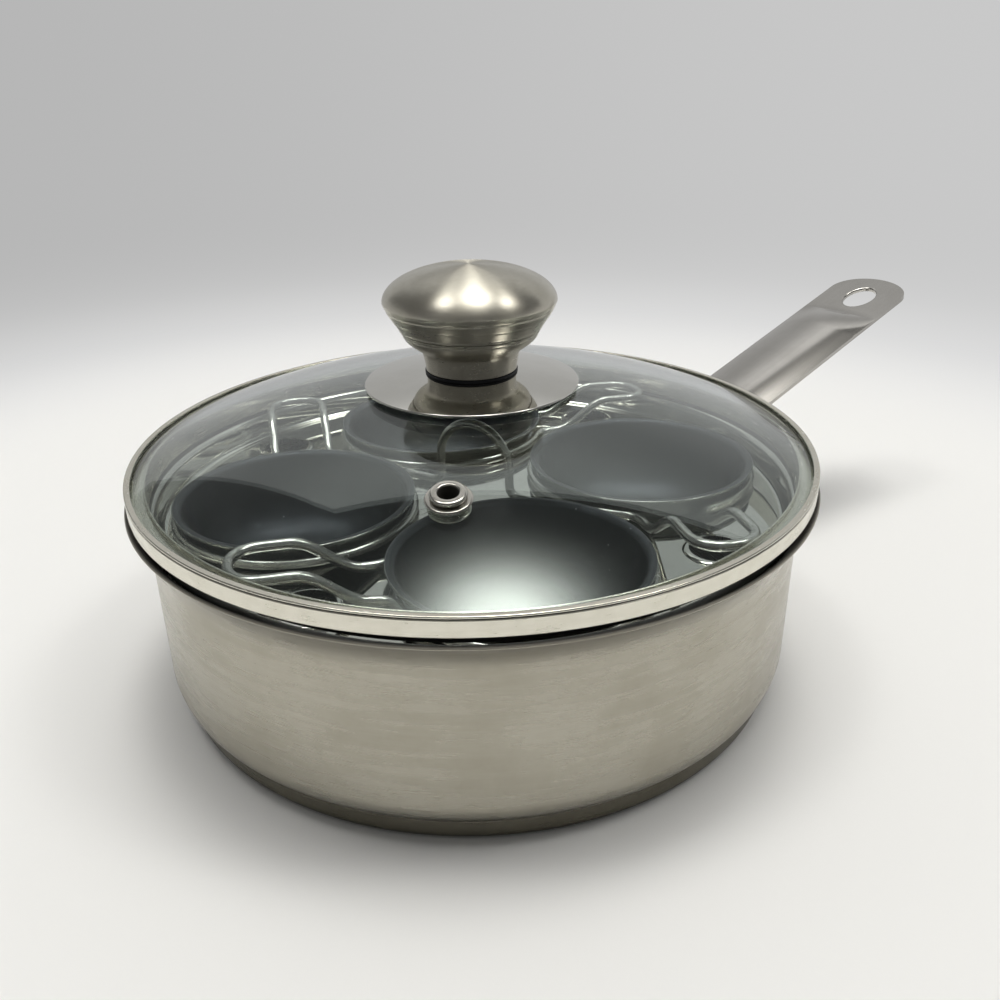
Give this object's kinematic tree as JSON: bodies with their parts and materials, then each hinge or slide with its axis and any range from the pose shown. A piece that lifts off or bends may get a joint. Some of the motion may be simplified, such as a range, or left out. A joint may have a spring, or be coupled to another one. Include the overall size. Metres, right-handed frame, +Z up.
{
  "type": "egg poacher pan",
  "caption": "Steel pan with a long arched handle, a lift-out plate holding non-stick egg cups in wire carriers, and a domed glass lid with a steam vent and a knob.",
  "frame": {"origin": "centre of the flat underside of the base, on the pan's axis", "axes": "+Z up along the pan's axis, +X along the handle away from the pan, +Y to the left of the handle as seen from above"},
  "size_m": [0.3373, 0.2132, 0.128],
  "materials": {
    "brushed_steel": "brushed along the circumference",
    "pressed_steel": "satin",
    "band_steel": "satin",
    "polished_steel": "mirror polished",
    "knob_steel": "turned and brushed in circles",
    "wire_steel": "bright",
    "aluminium": "plain",
    "black_rubber": "matte",
    "tempered_glass": "clear, slightly green",
    "non_stick_coating": "satin non-stick coating on pressed metal"
  },
  "bodies": {
    "pan": {"pan_body": "brushed_steel", "base_cap": "brushed_steel", "base_core": "aluminium", "handle_shell": "pressed_steel", "handle_bracket": "pressed_steel"},
    "lid": {"lid_glass": "tempered_glass", "lid_band": "band_steel", "vent_eyelet": "band_steel", "vent_washer": "band_steel", "knob_cap": "knob_steel", "knob_body": "knob_steel", "knob_boss": "polished_steel", "knob_seal_ring": "black_rubber", "knob_disc": "polished_steel", "knob_screw": "polished_steel", "knob_washer": "polished_steel", "knob_gasket_top": "black_rubber", "knob_gasket_under": "black_rubber"},
    "insert": {"insert_plate": "polished_steel", "insert_handle": "wire_steel"},
    "cup_1_set": {"cup_1": "non_stick_coating", "cup_wire_1": "wire_steel"},
    "cup_2_set": {"cup_2": "non_stick_coating", "cup_wire_2": "wire_steel"},
    "cup_3_set": {"cup_3": "non_stick_coating", "cup_wire_3": "wire_steel"},
    "cup_4_set": {"cup_4": "non_stick_coating", "cup_wire_4": "wire_steel"}
  },
  "joints": [
    {"name": "lid_lift", "type": "slide", "parent": "pan", "child": "lid", "axis": [0, 0, 1], "range_m": [0, 0.16]},
    {"name": "insert_lift", "type": "slide", "parent": "pan", "child": "insert", "axis": [0, 0, 1], "range_m": [0, 0.08]},
    {"name": "cup_1_lift", "type": "slide", "parent": "insert", "child": "cup_1_set", "axis": [0, 0, 1], "range_m": [0, 0.04]},
    {"name": "cup_2_lift", "type": "slide", "parent": "insert", "child": "cup_2_set", "axis": [0, 0, 1], "range_m": [0, 0.04]},
    {"name": "cup_3_lift", "type": "slide", "parent": "insert", "child": "cup_3_set", "axis": [0, 0, 1], "range_m": [0, 0.04]},
    {"name": "cup_4_lift", "type": "slide", "parent": "insert", "child": "cup_4_set", "axis": [0, 0, 1], "range_m": [0, 0.04]}
  ],
  "couplings": [
    {"joint": "insert_lift", "follows": "lid_lift", "ratio": 0.5},
    {"joint": "cup_1_lift", "follows": "lid_lift", "ratio": 0.25},
    {"joint": "cup_2_lift", "follows": "lid_lift", "ratio": 0.25},
    {"joint": "cup_3_lift", "follows": "lid_lift", "ratio": 0.25},
    {"joint": "cup_4_lift", "follows": "lid_lift", "ratio": 0.25}
  ]
}
